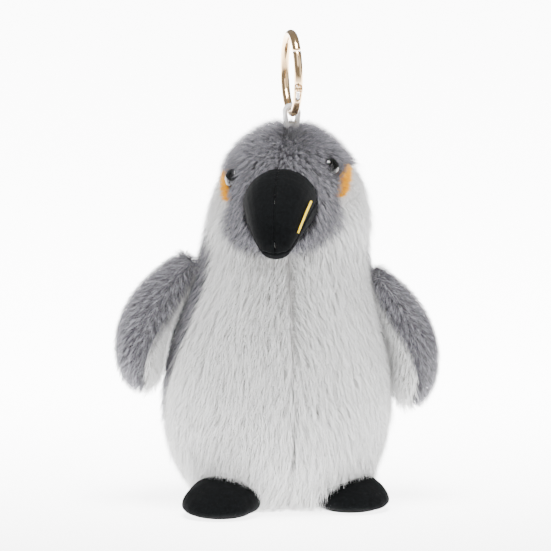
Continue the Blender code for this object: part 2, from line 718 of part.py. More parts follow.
def across_wire(radius, half_length, sides=12):
    """A closed cylinder along X, square to the ring's plane."""
    bm = cylinder(radius, -half_length, half_length, sides)
    bmesh.ops.rotate(bm, matrix=Matrix.Rotation(math.pi / 2, 3, "Y"), verts=bm.verts)
    return bm


def make_ring(loop_hinge):
    """The ring's open body, the gate pinned into its slotted end, the pin and the gate's leaf spring."""
    wire = empty("ring_hinge", (0, 0, WIRE_ABOVE_HINGE), (0, 0, 0), loop_hinge)
    place = ring_point(GATE_START)
    pivot = empty("gate_hinge", place, (0, 0, 0), wire)
    gate_end = GATE_START + GATE_SWEEP
    overlap = 0.1
    first, last = gate_end - overlap, GATE_START + 2 * math.pi
    steps = 44
    body_points = [ring_point(first + (last - first) * i / steps) for i in range(steps + 1)]
    body = tube("ring_body", body_points, WIRE, wire, "gold", 4)
    start = GATE_START + 1.15 * WIRE / RING_RADIUS
    end = gate_end + overlap
    gate_steps = 10
    gate_points = [ring_point(start + (end - start) * i / gate_steps) - place for i in range(gate_steps + 1)]
    gate = tube("ring_gate", gate_points, WIRE, pivot, "gold", 4)

    # The free end swings on an arc about the pin, so the nose and the gate are cut to that arc.
    to_nose = ring_point(gate_end) - place
    reach = to_nose.length
    to_nose_angle = math.atan2(to_nose.z, to_nose.y)
    swing = sector(to_nose_angle, math.radians(50), 2.2 * WIRE, reach)
    boolean(body, add_object("knuckle", across_wire(WIRE, 0.85 * WIRE), pivot), "UNION")
    cut(body, prism("gate_path", swing, (-3, 3), pivot, GAP / 2))
    keep(gate, add_object("gate_reach", across_wire(reach - GAP / 2, 3, 48), pivot))

    along = math.atan2(gate_points[1].z, gate_points[1].y)
    step = Vector((0, math.cos(along), math.sin(along)))
    side = Vector((0, -step.z, step.y))

    def bar(low, high, half):
        ends = ((low, -half), (high, -half), (high, half), (low, half))
        corners = [step * reach_out + side * off for reach_out, off in ends]
        return [(corner.y, corner.z) for corner in corners]

    cut(body, prism("gate_slot", bar(-SLOT_DEPTH, 2 * WIRE, 2 * WIRE), (-SLOT, SLOT), pivot))
    boolean(gate, add_object("tongue_knuckle", across_wire(KNUCKLE, TONGUE), pivot), "UNION")
    tongue = prism("tongue_bar", bar(0, 2.0 * WIRE, 0.8 * KNUCKLE), (-TONGUE, TONGUE), pivot)
    boolean(gate, tongue, "UNION")
    pin_hole = add_object("pin_hole", across_wire(PIN + 0.12, 4), pivot)
    cut(body, pin_hole)
    cut(gate, pin_hole, solver="MANIFOLD")  # the exact solver loses the gate here
    add_object("gate_pin", across_wire(PIN, WIRE - 0.35), pivot, "gold")
    leaf = bar(GAP - SLOT_DEPTH, -KNUCKLE - GAP, LEAF)
    prism("gate_spring", leaf, (-TONGUE, TONGUE), pivot, slot="spring_steel")


# ---------------------------------------------------------------- build

clear_scene()
PARTS = new_collection("plush_penguin")
CUTTERS = new_collection("cutters", hidden=True)
AXIS = empty("penguin", (-ORIGIN[0], -ORIGIN[1], 0))
BODY = empty("body_axis", (0, 0, 0), (0, 0, BODY_TURN), AXIS)
HEAD = empty("head_axis", HEAD_CENTRE, (0, HEAD_ROLL, HEAD_TURN), AXIS)
HEAD_MATRIX = Matrix.Translation(HEAD_CENTRE) @ HEAD.rotation_euler.to_matrix().to_4x4()

loop_axis, crown_notch = make_loop()
head_openings = make_eyes()
head_openings["beak"] = add_object("beak_opening", grown(beak_form(), GAP), HEAD)
head_openings["crown"] = crown_notch
body_zones = seam_cutters()
make_body_panels(body_zones)
make_head_panels(body_zones, head_openings)
make_stuffing(head_openings)
make_beak()
make_mouth_stitches()
make_wings()
make_feet()
make_tail()
make_ring(loop_axis)
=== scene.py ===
# %% [markdown]
# # A plush penguin on a ring
#
# The toy is a stuffed pear of pile fabric with a grey hood, a hooked black beak, two flippers, two black
# feet and a spring gate ring sewn into its crown. The solid parts are already there as the frame, and
# this lesson dresses them. Each panel of cloth becomes a soft backing with its own pile of hair, and the
# hard parts get their real finishes. The fur could also be a texture of strokes, but then its edge
# against the light would be a hard line, so here every hair is a real shape.

# %% Load the frame
import json
import math

import bmesh
import bpy
from mathutils import Matrix, Vector, noise
from mathutils.bvhtree import BVHTree

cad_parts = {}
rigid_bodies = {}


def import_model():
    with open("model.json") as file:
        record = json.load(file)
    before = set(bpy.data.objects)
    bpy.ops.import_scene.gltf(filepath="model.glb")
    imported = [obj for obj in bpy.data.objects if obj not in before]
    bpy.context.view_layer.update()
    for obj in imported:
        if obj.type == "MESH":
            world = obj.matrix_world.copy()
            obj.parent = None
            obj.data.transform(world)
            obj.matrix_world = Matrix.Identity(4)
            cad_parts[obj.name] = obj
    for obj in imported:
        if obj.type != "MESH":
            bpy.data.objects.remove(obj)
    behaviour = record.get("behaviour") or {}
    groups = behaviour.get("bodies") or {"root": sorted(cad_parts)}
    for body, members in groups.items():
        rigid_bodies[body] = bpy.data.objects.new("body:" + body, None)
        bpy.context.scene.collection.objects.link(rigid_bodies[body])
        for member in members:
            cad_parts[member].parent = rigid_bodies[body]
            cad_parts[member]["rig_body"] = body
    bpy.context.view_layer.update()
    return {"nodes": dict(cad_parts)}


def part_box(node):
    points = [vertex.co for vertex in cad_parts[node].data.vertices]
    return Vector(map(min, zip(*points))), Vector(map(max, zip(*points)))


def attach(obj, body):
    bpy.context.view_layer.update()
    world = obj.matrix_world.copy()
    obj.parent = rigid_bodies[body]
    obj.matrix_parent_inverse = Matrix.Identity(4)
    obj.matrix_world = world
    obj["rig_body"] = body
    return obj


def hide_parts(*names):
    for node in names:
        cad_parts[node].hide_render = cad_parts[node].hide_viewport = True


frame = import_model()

MM = 0.001
NODES = frame["nodes"]

# %% [markdown]
# ## Where things are
#
# Hair has to know which way is out and which way it was combed. Out is read from the stuffing: the cloth
# lies a little over 2 mm off it, so the way from the nearest point of the stuffing to the cloth is the
# way the hair grows. A search tree answers that question quickly for thousands of points. The beak, the
# ear patches and the feet get trees too, because the hair round them is cut or combed to suit.

# %% Out from the stuffing
BODY_AXIS = Vector((0.35, 3.65, 0)) * MM
BODY_TURN = math.radians(9)
HEAD_TURN = math.radians(-6)
HEAD_CENTRE = BODY_AXIS + Vector((4, 0, 105)) * MM


def merged(node):
    """A welded copy of a frame node's mesh, as a bmesh."""
    bm = bmesh.new()
    bm.from_mesh(NODES[node].data)
    bmesh.ops.remove_doubles(bm, verts=bm.verts, dist=0.005 * MM)
    return bm


def tree_of(*names):
    """One search tree over several frame nodes."""
    bm = bmesh.new()
    for name in names:
        bm.from_mesh(NODES[name].data)
    tree = BVHTree.FromBMesh(bm)
    bm.free()
    return tree


STUFFING = {
    "body": tree_of("body_stuffing", "head_stuffing"),
    "wing_left": tree_of("wing_pad_left"),
    "wing_right": tree_of("wing_pad_right"),
    "tail": None,
}
BEAK = tree_of("beak_upper_left", "beak_upper_right")
EARS = tree_of("ear_patch_left", "ear_patch_right")
FEET = tree_of("foot_upper_left", "foot_upper_right")


def outward(place, stuffing):
    """The way out of the toy at a place on its cloth."""
    nearest = stuffing.find_nearest(place)[0]
    return (place - nearest).normalized()


print("stuffing trees:", ", ".join(STUFFING))

# %% [markdown]
# ## Finishes for hair
#
# A hair is too thin to carry a pattern, so its colour changes in three steps from root to tip, and each
# pile mixes several dye lots. The yarn of real plush is blended from fibres of slightly different
# shades, which the lots stand for. The darker root is painted shade, for the little light that gets down
# there. The sheen is the soft glow that fibres show at a glancing angle.

# %% Hair finishes
def hair_finish(name, colour, roughness=0.6, sheen=0.2):
    """One fibre: the variety of a pile comes from mixing many of them."""
    made = bpy.data.materials.new(name)
    made.use_nodes = True
    shader = made.node_tree.nodes["Principled BSDF"]
    shader.inputs["Base Color"].default_value = (*colour, 1)
    shader.inputs["Roughness"].default_value = roughness
    shader.inputs["Specular IOR Level"].default_value = 0.25
    shader.inputs["Sheen Weight"].default_value = sheen
    shader.inputs["Sheen Roughness"].default_value = 0.5
    return made


# Each row is one dye lot: the colours of root, middle and tip, made darker towards the root as painted shade.
DYE_LOTS_AND_ROOT_SHADE = {
    "white": (
        ((0.48, 0.47, 0.455), (0.66, 0.655, 0.645), (0.77, 0.77, 0.76)),
        ((0.42, 0.41, 0.395), (0.58, 0.575, 0.565), (0.70, 0.70, 0.69)),
        ((0.54, 0.535, 0.52), (0.73, 0.73, 0.72), (0.83, 0.83, 0.82)),
    ),
    "grey": (
        ((0.026, 0.025, 0.029), (0.082, 0.080, 0.092), (0.23, 0.225, 0.251)),
        ((0.016, 0.015, 0.018), (0.044, 0.042, 0.050), (0.11, 0.107, 0.123)),
        ((0.040, 0.038, 0.045), (0.145, 0.141, 0.162), (0.42, 0.412, 0.447)),
    ),
    "orange": (
        ((0.56, 0.22, 0.0), (0.88, 0.42, 0.0), (0.97, 0.53, 0.0)),
        ((0.50, 0.19, 0.0), (0.80, 0.36, 0.0), (0.93, 0.47, 0.0)),
    ),
}
HAIR = {}
for dye, lots in DYE_LOTS_AND_ROOT_SHADE.items():
    HAIR[dye] = []
    for lot, colours in enumerate(lots, 1):
        steps = zip(("root", "middle", "tip"), colours)
        glow = 0.02 if dye == "orange" else 0.2
        finishes = [hair_finish(f"{dye}_hair_{lot}_{part}", colour, sheen=glow) for part, colour in steps]
        HAIR[dye].append(finishes)
print("hair finishes:", {dye: 3 * len(lots) for dye, lots in HAIR.items()})

# %% [markdown]
# ## One hair
#
# A hair is a cone with three sides, cut once along its length so that it can bend. It leaves the cloth
# steeply and then lies over the way it was combed. Its root is at the origin, +Z is out of the cloth and
# +X is the way it is combed, so that the same few hairs can be set down everywhere.

# %% Make a hair
def make_hair(name, width, middle, tip, finishes, cuts):
    """A bent, tapering hair one unit long, with painted shade making it darker at its root than at its tip.
    """
    bm = bmesh.new()
    middle_height = Matrix.Translation((0, 0, 0.5))
    bmesh.ops.create_cone(
        bm, cap_ends=True, segments=3, radius1=width, radius2=0, depth=1, matrix=middle_height
    )
    sides = [edge for edge in bm.edges if abs(edge.verts[0].co.z - edge.verts[1].co.z) > 0.5]
    if cuts:
        bmesh.ops.subdivide_edges(bm, edges=sides, cuts=cuts)
    for vert in bm.verts:
        part = vert.co.z
        fullness = 1 + 1.2 * part * (1 - part) * 2
        vert.co.x *= fullness
        vert.co.y *= fullness
        along = 2 * part * (1 - part) * middle + part * part * tip
        vert.co.x += along.x
        vert.co.z = along.y
    for face in bm.faces:
        height = sum(vert.co.z for vert in face.verts) / len(face.verts) / tip.y
        face.material_index = 0 if height < 0.25 else 1 if height < 0.62 else 2
        face.smooth = True
    bmesh.ops.recalc_face_normals(bm, faces=bm.faces)
    mesh = bpy.data.meshes.new(name)
    bm.to_mesh(mesh)
    bm.free()
    for finish in finishes:
        mesh.materials.append(finish)
    return bpy.data.objects.new(name, mesh)


def hair_set(name, dye, width, middle, tip, cuts=1):
    """A collection of hairs, one from each dye lot, that a pile picks from."""
    made = bpy.data.collections.new(name)
    for lot, finishes in enumerate(HAIR[dye]):
        made.objects.link(make_hair(f"{name}_{lot}", width, Vector(middle), Vector(tip), finishes, cuts))
    return made


HAIR_SETS = {
    "guard_white": hair_set("guard_white", "white", 0.0085, (0.20, 0.36), (0.86, 0.36)),
    "under_white": hair_set("under_white", "white", 0.022, (0.20, 0.40), (0.60, 0.62), cuts=0),
    "short_white": hair_set("short_white", "white", 0.015, (0.15, 0.45), (0.75, 0.60)),
    "grey": hair_set("grey", "grey", 0.0135, (0.15, 0.45), (0.76, 0.58)),
    "hood_grey": hair_set("hood_grey", "grey", 0.0105, (0.16, 0.46), (0.70, 0.66)),
    "orange": hair_set("orange", "orange", 0.040, (0.05, 0.5), (0.45, 0.80), cuts=0),
}

# %% [markdown]
# ## Planting a pile
#
# Geometry nodes do the planting. Points are scattered over the cloth, and each gets a hair turned to the
# out and comb directions stored on the cloth. Plush hairs lean together into small locks, so a Voronoi
# pattern names the nearest lock and every hair is pulled a little towards its middle. The result is
# made real and kept as a plain mesh, so it looks the same in every program.

# %% Planting nodes
def planting(name, hairs, per_mm2, seed, lock, pull, unruly):
    """A node group that plants hairs on a cloth that has out, comb and size attributes."""
    tree = bpy.data.node_groups.new(name, "GeometryNodeTree")
    tree.interface.new_socket("Geometry", in_out="INPUT", socket_type="NodeSocketGeometry")
    tree.interface.new_socket("Geometry", in_out="OUTPUT", socket_type="NodeSocketGeometry")
    add, link = tree.nodes.new, tree.links.new

    def stored(attribute, kind):
        node = add("GeometryNodeInputNamedAttribute")
        node.data_type = kind
        node.inputs["Name"].default_value = attribute
        return node.outputs["Attribute"]

    def vector(operation, first, second=None, scale=None):
        node = add("ShaderNodeVectorMath")
        node.operation = operation
        link(first, node.inputs[0])
        if second is not None:
            link(second, node.inputs[1])
        if scale is not None:
            node.inputs["Scale"].default_value = scale
        return node.outputs["Vector"]

    def chance(kind, low, high, offset):
        node = add("FunctionNodeRandomValue")
        node.data_type = kind
        at = 0 if kind == "FLOAT_VECTOR" else 2
        node.inputs[at].default_value = low
        node.inputs[at + 1].default_value = high
        node.inputs["Seed"].default_value = seed + offset
        return next(out for out in node.outputs if out.enabled)

    start, end = add("NodeGroupInput"), add("NodeGroupOutput")
    scatter = add("GeometryNodeDistributePointsOnFaces")
    scatter.inputs["Density"].default_value = per_mm2 / MM**2
    scatter.inputs["Seed"].default_value = seed
    link(start.outputs[0], scatter.inputs["Mesh"])

    place = add("GeometryNodeInputPosition").outputs[0]
    locks = add("ShaderNodeTexVoronoi")
    locks.inputs["Scale"].default_value = 1 / lock
    link(place, locks.inputs["Vector"])
    to_lock = vector("SCALE", vector("SUBTRACT", locks.outputs["Position"], place), scale=pull / lock)
    wild = vector("SCALE", chance("FLOAT_VECTOR", (-1, -1, -1), (1, 1, 1), 1), scale=unruly)
    combed = vector("ADD", vector("ADD", stored("comb", "FLOAT_VECTOR"), to_lock), wild)
    standing = vector("ADD", stored("out", "FLOAT_VECTOR"), vector("SCALE", to_lock, scale=0.5))
    standing = vector("ADD", standing, vector("SCALE", wild, scale=0.8))

    turn = add("FunctionNodeAxesToRotation")
    turn.primary_axis, turn.secondary_axis = "Z", "X"
    link(standing, turn.inputs[0])
    link(combed, turn.inputs[1])

    size = add("ShaderNodeMath")
    size.operation = "MULTIPLY"
    link(stored("size", "FLOAT"), size.inputs[0])
    link(chance("FLOAT", 0.72, 1.12, 2), size.inputs[1])

    lot = add("ShaderNodeMath")
    lot.operation = "MULTIPLY_ADD"
    link(chance("FLOAT", 0, len(hairs.objects), 3), lot.inputs[0])
    lot.inputs[1].default_value = 1
    lot.inputs[2].default_value = -0.5

    hair = add("GeometryNodeCollectionInfo")
    hair.inputs["Collection"].default_value = hairs
    hair.inputs["Separate Children"].default_value = True
    plant = add("GeometryNodeInstanceOnPoints")
    plant.inputs["Pick Instance"].default_value = True
    link(scatter.outputs["Points"], plant.inputs["Points"])
    link(hair.outputs[0], plant.inputs["Instance"])
    link(lot.outputs[0], plant.inputs["Instance Index"])
    link(turn.outputs[0], plant.inputs["Rotation"])
    link(size.outputs[0], plant.inputs["Scale"])
    real = add("GeometryNodeRealizeInstances")
    link(plant.outputs[0], real.inputs[0])
    link(real.outputs[0], end.inputs[0])
    return tree


print("planting is ready")

# %% [markdown]
# ## From a panel to its pile
#
# A panel of cloth in the frame is a closed shell with an outer face, an inner face and cut edges. Hair
# grows on the outer face only, so the rest is taken away from a welded copy. The copy is then cut finely
# enough to hold a smooth field of comb directions. Hair that would go through the table is pressed flat
# on it, as under a real toy.

# %% Grow a pile
def outer_face(panel, stuffing):
    """The outside of a panel's cloth, finely cut, as a bmesh."""
    bm = merged(panel)
    bm.normal_update()
    hidden = []
    for face in bm.faces:
        middle = face.calc_center_median()
        away = outward(middle, stuffing) if stuffing else face.normal
        if face.normal.dot(away) < 0.35:
            hidden.append(face)
    bmesh.ops.delete(bm, geom=hidden, context="FACES")
    for limit in (6, 3.5):
        long_edges = [edge for edge in bm.edges if edge.calc_length() > limit * MM]
        bmesh.ops.subdivide_edges(bm, edges=long_edges, cuts=1)
        bmesh.ops.triangulate(bm, faces=bm.faces)
    return bm


def grow(name, panel, hairs, length, comb, per_mm2=2.6, stuffing="body", seed=1, **locks):
    """Plants a pile on a panel, and returns it as a mesh object that rides on the panel's body."""
    bm = outer_face(panel, STUFFING[stuffing])
    bm.normal_update()
    out_layer = bm.verts.layers.float_vector.new("out")
    comb_layer = bm.verts.layers.float_vector.new("comb")
    size_layer = bm.verts.layers.float.new("size")
    for vert in bm.verts:
        out = vert.normal.copy()
        if STUFFING[stuffing]:
            out = (out + outward(vert.co, STUFFING[stuffing])).normalized()
        way, lean, share = comb(vert.co.copy(), out)
        way = way - out * way.dot(out)
        vert[out_layer] = (out + lean).normalized()
        vert[comb_layer] = way.normalized()
        vert[size_layer] = length * MM * share
    area = sum(face.calc_area() for face in bm.faces) / MM**2
    cloth = bpy.data.meshes.new(name)
    bm.to_mesh(cloth)
    bm.free()
    obj = bpy.data.objects.new(name, cloth)
    bpy.context.scene.collection.objects.link(obj)
    plant = obj.modifiers.new("planting", "NODES")
    settings = {"lock": 1.7 * MM, "pull": 0.35, "unruly": 0.16, **locks}
    plant.node_group = planting(name + "_planting", HAIR_SETS[hairs], per_mm2, seed, **settings)
    graph = bpy.context.evaluated_depsgraph_get()
    pile = bpy.data.meshes.new_from_object(obj.evaluated_get(graph))
    obj.modifiers.clear()
    obj.data = pile
    bpy.data.meshes.remove(cloth)
    pile.name = name
    for vert in pile.vertices:
        if vert.co.z < 0.1 * MM:
            vert.co.z = 0.1 * MM
    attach(obj, NODES[panel]["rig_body"])
    triangles = sum(len(face.vertices) - 2 for face in pile.polygons)
    print(f"{name}: {area:.0f} mm2, {triangles} triangles")
    return obj


# %% [markdown]
# ## Combing
#
# Each comb function answers three things at a place: which way the hair lies, how far its root leans
# over, and how long it is as a share of the pile. Down is the rule, parted at the chest seam and over
# the brow, and fanned out from the crown.

# %% Comb directions
DOWN = Vector((0, 0, -1))
ACROSS_BODY = Vector((math.cos(BODY_TURN), math.sin(BODY_TURN), 0))
ACROSS_HEAD = Vector((math.cos(HEAD_TURN), math.sin(HEAD_TURN), 0))
AHEAD_HEAD = Vector((math.sin(HEAD_TURN), -math.cos(HEAD_TURN), 0))
NOTHING = Vector((0, 0, 0))
CROWN = BODY_AXIS + Vector((4, 0, 132)) * MM


def swirl(place, scale=24):
    """A slow wander from side to side, so that no two areas are combed alike."""
    return noise.noise(place / MM / scale) * 1.4


def comb_body(place, out):
    side = (place - BODY_AXIS).dot(ACROSS_BODY) / MM
    chest = min(max((place.z / MM - 45) / 40, 0.15), 1)
    parting = math.exp(-abs(side) / 5) * chest
    across = math.copysign(0.08 + 0.45 * parting, side) + 0.3 * swirl(place)
    low = max(0.0, 1 - place.z / MM / 14)
    over_foot = max(0.0, 1 - FEET.find_nearest(place)[3] / MM / 9)
    lean = Vector((0, 0, 0.85 * over_foot))
    share = 1 - 0.25 * parting - 0.25 * low * (1 - over_foot)
    share *= 1 - 0.55 * max(0.0, 1 - EARS.find_nearest(place)[3] / MM / 7)
    return DOWN + ACROSS_BODY * across + out * 0.1, lean, share


def comb_head(place, out):
    from_crown = place - CROWN
    from_crown.z = 0
    side = (place - HEAD_CENTRE).dot(ACROSS_HEAD) / MM
    ahead = (place - HEAD_CENTRE).dot(AHEAD_HEAD) / MM
    parting = math.exp(-abs(side) / 3) if ahead > 0 else 0
    near_crown = math.exp(-from_crown.length / MM / 9)
    way = DOWN + from_crown.normalized() * 0.3 * near_crown
    way += ACROSS_HEAD * (math.copysign(0.15 + 0.15 * parting, side) + 0.3 * swirl(place, 14))
    to_ear = EARS.find_nearest(place)[3] / MM
    share = 1 - 0.12 * parting - 0.6 * max(0.0, 1 - to_ear / 4)
    to_beak = BEAK.find_nearest(place)[3] / MM
    lean = AHEAD_HEAD * 0.9 * max(0.0, 1 - to_beak / 7) - way.normalized() * near_crown
    for eye in ("left", "right"):
        low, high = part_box("eye_dome_" + eye)
        gap = (place - (low + high) / 2).length / MM
        share *= 1 - 0.5 * max(0.0, 1 - gap / 8)
    return way, lean, share


def comb_wing(side):
    """The wing's hair runs from its shoulder to its tip."""
    low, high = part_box("wing_pad_" + side)
    sign = 1 if side == "left" else -1
    shoulder = Vector((low.x if sign > 0 else high.x, (low.y + high.y) / 2, high.z))
    tip = Vector((high.x - 8 * MM if sign > 0 else low.x + 8 * MM, (low.y + high.y) / 2, low.z))

    def comb(place, out):
        way = (tip - shoulder).normalized() + Vector((0, 0.25 + 0.45 * swirl(place, 16), 0))
        return way, NOTHING, 0.9 + 0.35 * max(0.0, 1 - (place.z - low.z) / MM / 12)

    return comb


def comb_tail(place, out):
    return Vector((0, 1, -0.5)), NOTHING, 1


def comb_base(place, out):
    away = place - BODY_AXIS
    away.z = 0
    return away, NOTHING, 1


print("combs are ready")

# %% [markdown]
# ## The piles
#
# The white pile is long and lies close, the grey one is shorter and stands up more, and the orange ear
# patches are cropped short. Each panel has its own pile, because each is sewn on its own and the wings
# and tail have to move with theirs.

# %% Plant every panel
PILES = []
for seed, side in enumerate(("left", "right"), 1):
    wing, to_tip = "wing_" + side, comb_wing(side)
    for piece, panel, hairs, length, comb, per_mm2, stuffing, place in (
        ("belly_guard_hair_", "belly_panel_", "guard_white", 9.5, comb_body, 3.5, "body", 0),
        ("belly_underfur_", "belly_panel_", "under_white", 4.5, comb_body, 5, "body", 60),
        ("back_pile_", "back_panel_", "grey", 6.5, comb_body, 3.1, "body", 10),
        ("hood_pile_", "hood_panel_", "hood_grey", 5.6, comb_head, 11, "body", 20),
        ("ear_pile_", "ear_patch_", "orange", 7.5, comb_head, 24, "body", 30),
        ("wing_outer_pile_", "wing_outer_", "grey", 4.8, to_tip, 6, wing, 40),
        ("wing_inner_pile_", "wing_inner_", "short_white", 5.5, to_tip, 5, wing, 50),
    ):
        locks = {"lock": 1.5 * MM, "pull": 0.28} if hairs == "hood_grey" else {}
        pile = grow(piece + side, panel + side, hairs, length, comb, per_mm2, stuffing, seed + place, **locks)
        PILES.append(pile)
PILES.append(grow("tail_pile", "tail", "grey", 4.5, comb_tail, 5, "tail", 71))
PILES.append(grow("base_pile", "base_panel", "short_white", 3.0, comb_base, 1.2, seed=81))
print(len(PILES), "piles")

# %% [markdown]
# ## The backing
#
# Under the hair is a knitted backing. A little of it shows at the partings and between the hairs, so it
# has the pile's dark or light root colour, which is painted shade as on the roots, with a fine grain of
# loops.

# %% Finishes with a pattern
def patterned(name, dark, light, scale, roughness, bump=0.0, detail=4, **direct):
    """A finish whose colour wanders between two shades, with a bump of the same grain."""
    made = bpy.data.materials.new(name)
    made.use_nodes = True
    tree = made.node_tree
    shader = tree.nodes["Principled BSDF"]
    where = tree.nodes.new("ShaderNodeTexCoord")
    grain = tree.nodes.new("ShaderNodeTexNoise")
    grain.inputs["Scale"].default_value = scale
    grain.inputs["Detail"].default_value = detail
    ramp = tree.nodes.new("ShaderNodeValToRGB")
    ramp.color_ramp.elements[0].position = 0.35
    ramp.color_ramp.elements[0].color = (*dark, 1)
    ramp.color_ramp.elements[1].position = 0.65
    ramp.color_ramp.elements[1].color = (*light, 1)
    tree.links.new(where.outputs["Object"], grain.inputs["Vector"])
    tree.links.new(grain.outputs["Fac"], ramp.inputs["Fac"])
    tree.links.new(ramp.outputs["Color"], shader.inputs["Base Color"])
    if bump:
        height = tree.nodes.new("ShaderNodeBump")
        height.inputs["Distance"].default_value = bump
        height.inputs["Strength"].default_value = 0.6
        tree.links.new(grain.outputs["Fac"], height.inputs["Height"])
        tree.links.new(height.outputs["Normal"], shader.inputs["Normal"])
    shader.inputs["Roughness"].default_value = roughness
    for socket, value in direct.items():
        shader.inputs[socket.replace("_", " ").title().replace("Ior", "IOR")].default_value = value
    return made


# The backing colours are the piles' root colours, darkened with painted shade.
BACKING = {
    "white": patterned("white_backing", (0.50, 0.49, 0.48), (0.62, 0.61, 0.60), 1800, 0.95, 0.1 * MM),
    "grey": patterned("grey_backing", (0.028, 0.027, 0.031), (0.050, 0.048, 0.055), 1800, 0.95, 0.1 * MM),
    "orange": patterned("orange_backing", (0.48, 0.20, 0.004), (0.60, 0.27, 0.006), 1800, 0.95, 0.1 * MM),
}
print("backings:", ", ".join(BACKING))


# %% [markdown]
# ## Cloth panels
#
# Each panel of the frame is copied, welded and softened, and stands for the hard solid under its pile.
# It swells by a fifth of a millimetre, which closes the sewing gaps between the panels to a fine line.
# A cloth simulation could do this, but the toy is stuffed tight and hardly any of the backing shows.

# %% Cloth panels
def cloth_panel(name, panel, finish):
    """A welded, softened copy of a panel, which stands for it."""
    bm = merged(panel)
    inner = [vert for vert in bm.verts if not vert.is_boundary]
    bmesh.ops.smooth_vert(bm, verts=inner, factor=0.2, use_axis_x=True, use_axis_y=True, use_axis_z=True)
    bm.normal_update()
    for vert in bm.verts:
        vert.co += vert.normal * 0.2 * MM
    mesh = bpy.data.meshes.new(name)
    bm.to_mesh(mesh)
    bm.free()
    mesh.materials.append(finish)
    mesh.shade_smooth()
    mesh.set_sharp_from_angle(angle=math.radians(50))
    obj = bpy.data.objects.new(name, mesh)
    bpy.context.scene.collection.objects.link(obj)
    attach(obj, NODES[panel]["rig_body"])
    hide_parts(panel)
    return obj


CLOTHS = [
    cloth_panel("tail_cloth", "tail", BACKING["grey"]),
    cloth_panel("base_cloth", "base_panel", BACKING["white"]),
]
for side in ("left", "right"):
    for part, panel, dye in (
        ("belly_cloth_", "belly_panel_", "white"),
        ("back_cloth_", "back_panel_", "grey"),
        ("hood_cloth_", "hood_panel_", "grey"),
        ("ear_cloth_", "ear_patch_", "orange"),
        ("wing_outer_cloth_", "wing_outer_", "grey"),
        ("wing_inner_cloth_", "wing_inner_", "white"),
    ):
        CLOTHS.append(cloth_panel(part + side, panel + side, BACKING[dye]))
print(len(CLOTHS), "panels of cloth")

# %% [markdown]
# ## Beak and feet
#
# These are cut from a short black suede cloth with no long hair. A copy of each panel is remeshed finely
# and smoothed, which rounds its cut edges over as a turned seam does, and leaves a soft groove where two
# panels meet. Slow lumps of noise stand for the fibre fill that presses on the cloth from inside.

# %% Suede panels
SUEDE = patterned(
    "black_suede_nap", (0.0005, 0.0007, 0.0008), (0.0014, 0.0018, 0.0021), 900, 0.9, 0.12 * MM, 6,
    sheen_weight=0.012, sheen_roughness=0.4, specular_ior_level=0.06,
)


def soft_panel(name, panel, finish, voxel, swell, lumps=0.0):
    """A remeshed copy of a panel with rounded edges and slow lumps, which stands for it."""
    bm = merged(panel)
    mesh = bpy.data.meshes.new(name)
    bm.to_mesh(mesh)
    bm.free()
    obj = bpy.data.objects.new(name, mesh)
    bpy.context.scene.collection.objects.link(obj)
    remesh = obj.modifiers.new("even", "REMESH")
    remesh.mode = "VOXEL"
    remesh.voxel_size = voxel * MM
    graph = bpy.context.evaluated_depsgraph_get()
    even = bpy.data.meshes.new_from_object(obj.evaluated_get(graph))
    obj.modifiers.clear()
    obj.data = even
    bpy.data.meshes.remove(mesh)
    bm = bmesh.new()
    bm.from_mesh(even)
    every_way = {"use_axis_x": True, "use_axis_y": True, "use_axis_z": True}
    for _ in range(4):
        bmesh.ops.smooth_vert(bm, verts=bm.verts, factor=0.5, **every_way)
    bm.normal_update()
    for vert in bm.verts:
        vert.co += vert.normal * (swell + noise.noise(vert.co / MM / 6) * lumps) * MM
    bm.to_mesh(even)
    bm.free()
    for vert in even.vertices:
        vert.co.z = max(vert.co.z, 0)
    even.name = name
    even.materials.clear()
    even.materials.append(finish)
    even.shade_smooth()
    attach(obj, NODES[panel]["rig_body"])
    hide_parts(panel)
    return obj


SUEDES = [soft_panel("beak_suede_lower", "beak_lower", SUEDE, 0.45, 0.34, 0.2)]
for side in ("left", "right"):
    SUEDES += [
        soft_panel("beak_suede_" + side, "beak_upper_" + side, SUEDE, 0.45, 0.34, 0.2),
        soft_panel("foot_suede_" + side, "foot_upper_" + side, SUEDE, 0.5, 0.2, 0.3),
        soft_panel("foot_bottom_" + side, "foot_sole_" + side, SUEDE, 0.5, 0.1),
    ]
print({obj.name: len(obj.data.polygons) for obj in SUEDES})

# %% [markdown]
# ## Stuffing
#
# The fill is loose polyester fibre. It is out of sight, but it is what the toy is: each pocket of it is its
# own piece, remeshed, smoothed and drawn in a little.

# %% Fill
FIBRE = patterned("fibre_fill", (0.70, 0.70, 0.68), (0.86, 0.86, 0.84), 700, 1.0, 0.4 * MM, 6)
FILLS = []
for name, node, voxel in (
    ("body_fill", "body_stuffing", 1.6),
    ("head_fill", "head_stuffing", 1.4),
    ("beak_fill", "beak_stuffing", 0.9),
    ("wing_fill_left", "wing_pad_left", 0.9),
    ("wing_fill_right", "wing_pad_right", 0.9),
    ("foot_fill_left", "foot_stuffing_left", 0.9),
    ("foot_fill_right", "foot_stuffing_right", 0.9),
):
    fill = soft_panel(name, node, FIBRE, voxel, -0.3)
    FILLS.append(fill)
print({obj.name: len(obj.data.polygons) for obj in FILLS})

# %% [markdown]
# ## Eyes, thread, loop and ring
#
# The hard parts keep the frame's shapes: welded copies with smooth shading, and each with its own finish.
# An eye is a clear dome on a black disc. A real one is black right up under its clear skin, so a slightly
# smaller black dome is joined to the disc, and only a thin bright rim is left.

